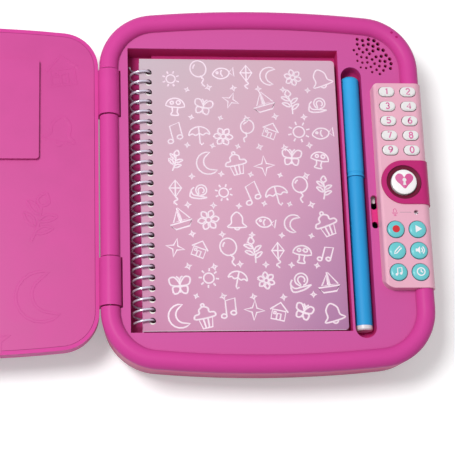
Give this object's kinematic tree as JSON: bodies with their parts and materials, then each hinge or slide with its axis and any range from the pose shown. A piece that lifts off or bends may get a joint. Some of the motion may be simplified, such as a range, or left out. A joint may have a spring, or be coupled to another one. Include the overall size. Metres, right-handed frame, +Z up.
{
  "type": "electronic secret diary",
  "caption": "Lockable toy diary case with a hinged lid, well with spiral notebook, pen groove, keypad strip, lock button and speaker.",
  "frame": {"origin": "bottom of the feet, in the middle of the overall box with the lid lying open", "axes": "+X from the lid across the hinge to the keypad, +Y along the hinge to the speaker end, +Z up"},
  "size_m": [0.321, 0.197, 0.0406],
  "materials": {
    "case_pink": "semi-gloss moulded plastic",
    "case_dark_pink": "semi-gloss moulded plastic",
    "lid_face_pink": "satin moulded plastic",
    "strip_pale_pink": "semi-gloss moulded plastic",
    "surround_magenta": "gloss moulded plastic",
    "ring_burgundy": "tinted light pipe",
    "membrane_rubber": "soft silicone",
    "circuit_board": "green glass-epoxy board",
    "speaker_black": "matt black",
    "bright_steel": "plated steel",
    "zinc_steel": "zinc plated",
    "white_plastic": "satin",
    "key_white": "gloss moulded plastic",
    "button_turquoise": "gloss moulded plastic",
    "battery_sleeve": "printed sleeve left plain",
    "foot_rubber": "matt",
    "page_paper": "uncoated white paper",
    "cover_card": "laminated card",
    "cover_print": "laminated card with a pearly print",
    "coil_wire": "coated spiral wire",
    "pen_blue": "gloss moulded plastic",
    "pen_cap_blue": "gloss moulded plastic",
    "plug_white": "gloss moulded plastic"
  },
  "bodies": {
    "case": {"base_upper_shell": "case_pink", "base_lower_shell": "case_dark_pink", "keypad_panel": "strip_pale_pink", "lock_surround": "surround_magenta", "light_ring": "ring_burgundy", "key_membrane": "membrane_rubber", "keypad_board": "circuit_board", "main_board": "circuit_board", "speaker": "speaker_black", "microphone": "bright_steel", "latch_solenoid": "zinc_steel", "lid_switch": "speaker_black", "battery_door": "case_dark_pink", "battery_door_screw": "zinc_steel", "batteries": "battery_sleeve", "battery_contacts": "bright_steel", "base_screws": "zinc_steel", "rubber_feet": "foot_rubber", "hinge_pins": "bright_steel"},
    "lid": {"lid_outer_shell": "case_pink", "lid_inner_shell": "lid_face_pink", "lid_latch_hook": "white_plastic", "lid_screws": "zinc_steel"},
    "latch": {"latch_slider": "white_plastic"},
    "notebook": {"notebook_pages": "page_paper", "notebook_back_cover": "cover_card", "notebook_coil": "coil_wire"},
    "front_cover": {"notebook_front_cover": "cover_print"},
    "pen": {"pen_barrel": "pen_blue", "pen_end_plug": "plug_white", "pen_tip": "bright_steel"},
    "cap": {"pen_cap": "pen_cap_blue"},
    "key_1": {"key_1": "key_white"},
    "key_2": {"key_2": "key_white"},
    "key_3": {"key_3": "key_white"},
    "key_4": {"key_4": "key_white"},
    "key_5": {"key_5": "key_white"},
    "key_6": {"key_6": "key_white"},
    "key_7": {"key_7": "key_white"},
    "key_8": {"key_8": "key_white"},
    "key_9": {"key_9": "key_white"},
    "key_0": {"key_0": "key_white"},
    "record_button": {"record_button": "button_turquoise"},
    "play_button": {"play_button": "button_turquoise"},
    "memo_button": {"memo_button": "button_turquoise"},
    "sound_button": {"sound_button": "button_turquoise"},
    "music_button": {"music_button": "button_turquoise"},
    "clock_button": {"clock_button": "button_turquoise"},
    "lock_button": {"lock_button": "key_white"}
  },
  "joints": [
    {"name": "lid_hinge", "type": "hinge", "parent": "case", "child": "lid", "pos_m": [-0.00585, 0, 0.032], "axis": [0, 1, 0], "range_deg": [0, 180]},
    {"name": "latch_slide", "type": "slide", "parent": "case", "child": "latch", "axis": [0, 1, 0], "range_m": [0, 0.003], "stiffness_N_per_m": 200},
    {"name": "notebook_lift", "type": "slide", "parent": "case", "child": "notebook", "axis": [0, 0, -1], "range_m": [-0.03, 0]},
    {"name": "cover_turn", "type": "hinge", "parent": "notebook", "child": "front_cover", "pos_m": [0.01075, 0, 0.02575], "axis": [0, 1, 0], "range_deg": [-100, 0]},
    {"name": "pen_lift", "type": "slide", "parent": "case", "child": "pen", "axis": [0, 0, -1], "range_m": [-0.12, 0]},
    {"name": "pen_cap_pull", "type": "slide", "parent": "pen", "child": "cap", "axis": [0, 1, 0], "range_m": [0, 0.048]},
    {"name": "key_1_press", "type": "slide", "parent": "case", "child": "key_1", "axis": [0, 0, -1], "range_m": [0, 0.0008], "stiffness_N_per_m": 500},
    {"name": "key_2_press", "type": "slide", "parent": "case", "child": "key_2", "axis": [0, 0, -1], "range_m": [0, 0.0008], "stiffness_N_per_m": 500},
    {"name": "key_3_press", "type": "slide", "parent": "case", "child": "key_3", "axis": [0, 0, -1], "range_m": [0, 0.0008], "stiffness_N_per_m": 500},
    {"name": "key_4_press", "type": "slide", "parent": "case", "child": "key_4", "axis": [0, 0, -1], "range_m": [0, 0.0008], "stiffness_N_per_m": 500},
    {"name": "key_5_press", "type": "slide", "parent": "case", "child": "key_5", "axis": [0, 0, -1], "range_m": [0, 0.0008], "stiffness_N_per_m": 500},
    {"name": "key_6_press", "type": "slide", "parent": "case", "child": "key_6", "axis": [0, 0, -1], "range_m": [0, 0.0008], "stiffness_N_per_m": 500},
    {"name": "key_7_press", "type": "slide", "parent": "case", "child": "key_7", "axis": [0, 0, -1], "range_m": [0, 0.0008], "stiffness_N_per_m": 500},
    {"name": "key_8_press", "type": "slide", "parent": "case", "child": "key_8", "axis": [0, 0, -1], "range_m": [0, 0.0008], "stiffness_N_per_m": 500},
    {"name": "key_9_press", "type": "slide", "parent": "case", "child": "key_9", "axis": [0, 0, -1], "range_m": [0, 0.0008], "stiffness_N_per_m": 500},
    {"name": "key_0_press", "type": "slide", "parent": "case", "child": "key_0", "axis": [0, 0, -1], "range_m": [0, 0.0008], "stiffness_N_per_m": 500},
    {"name": "record_button_press", "type": "slide", "parent": "case", "child": "record_button", "axis": [0, 0, -1], "range_m": [0, 0.0008], "stiffness_N_per_m": 500},
    {"name": "play_button_press", "type": "slide", "parent": "case", "child": "play_button", "axis": [0, 0, -1], "range_m": [0, 0.0008], "stiffness_N_per_m": 500},
    {"name": "memo_button_press", "type": "slide", "parent": "case", "child": "memo_button", "axis": [0, 0, -1], "range_m": [0, 0.0008], "stiffness_N_per_m": 500},
    {"name": "sound_button_press", "type": "slide", "parent": "case", "child": "sound_button", "axis": [0, 0, -1], "range_m": [0, 0.0008], "stiffness_N_per_m": 500},
    {"name": "music_button_press", "type": "slide", "parent": "case", "child": "music_button", "axis": [0, 0, -1], "range_m": [0, 0.0008], "stiffness_N_per_m": 500},
    {"name": "clock_button_press", "type": "slide", "parent": "case", "child": "clock_button", "axis": [0, 0, -1], "range_m": [0, 0.0008], "stiffness_N_per_m": 500},
    {"name": "lock_button_press", "type": "slide", "parent": "case", "child": "lock_button", "axis": [0, 0, -1], "range_m": [0, 0.0008], "stiffness_N_per_m": 500}
  ],
  "couplings": [
    {"joint": "pen_cap_pull", "follows": "pen_lift", "ratio": -0.4}
  ]
}
